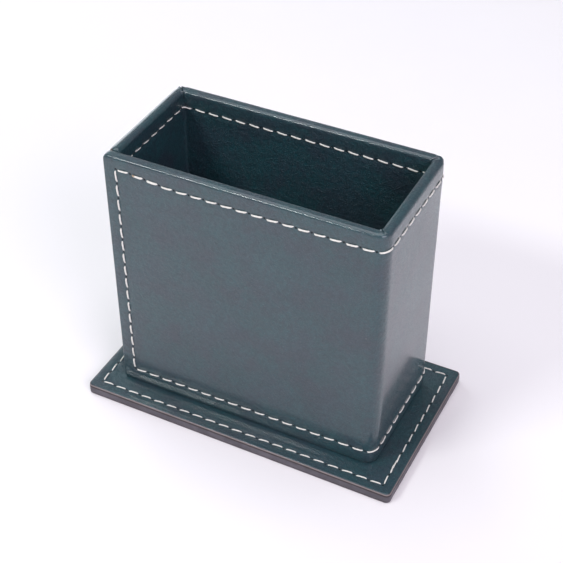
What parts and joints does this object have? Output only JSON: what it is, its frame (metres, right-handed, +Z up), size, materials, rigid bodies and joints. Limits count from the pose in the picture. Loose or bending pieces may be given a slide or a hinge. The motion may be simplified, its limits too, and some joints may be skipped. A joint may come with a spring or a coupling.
{
  "type": "pen holder cup",
  "caption": "Rectangular desk cup for pens with stitched leatherette walls on stiff boards, standing on a wider stitched foot plate.",
  "frame": {"origin": "centre of the foot plate's underside", "axes": "+X along the cup's long side, +Y from the front wall to the back wall, +Z up out of the mouth"},
  "size_m": [0.1204, 0.068, 0.1028],
  "materials": {
    "cover_leatherette": "satin, fine grain, dark green",
    "lining_leatherette": "satin, fine grain, dark green",
    "underside_leatherette": "matte, fine grain, dark green",
    "greyboard": "matte, fibrous",
    "thread": "waxed twisted thread, off-white",
    "edge_paint": "satin brown edge paint"
  },
  "bodies": {
    "root": {"wall_cover": "cover_leatherette", "wall_lining": "lining_leatherette", "wall_board_front": "greyboard", "wall_board_right": "greyboard", "wall_board_back": "greyboard", "wall_board_left": "greyboard", "floor_board": "greyboard", "floor_lining": "lining_leatherette", "plate_board": "greyboard", "plate_top_skin": "cover_leatherette", "plate_under_skin": "underside_leatherette", "plate_edge_paint": "edge_paint", "rim_seam_outside": "thread", "rim_seam_inside": "thread", "foot_seam_outside": "thread", "foot_seam_inside": "thread", "front_end_seam_outside": "thread", "front_end_seam_inside": "thread", "left_end_seam_outside": "thread", "left_end_seam_inside": "thread", "plate_seam_top": "thread", "plate_seam_under": "thread"}
  },
  "joints": []
}
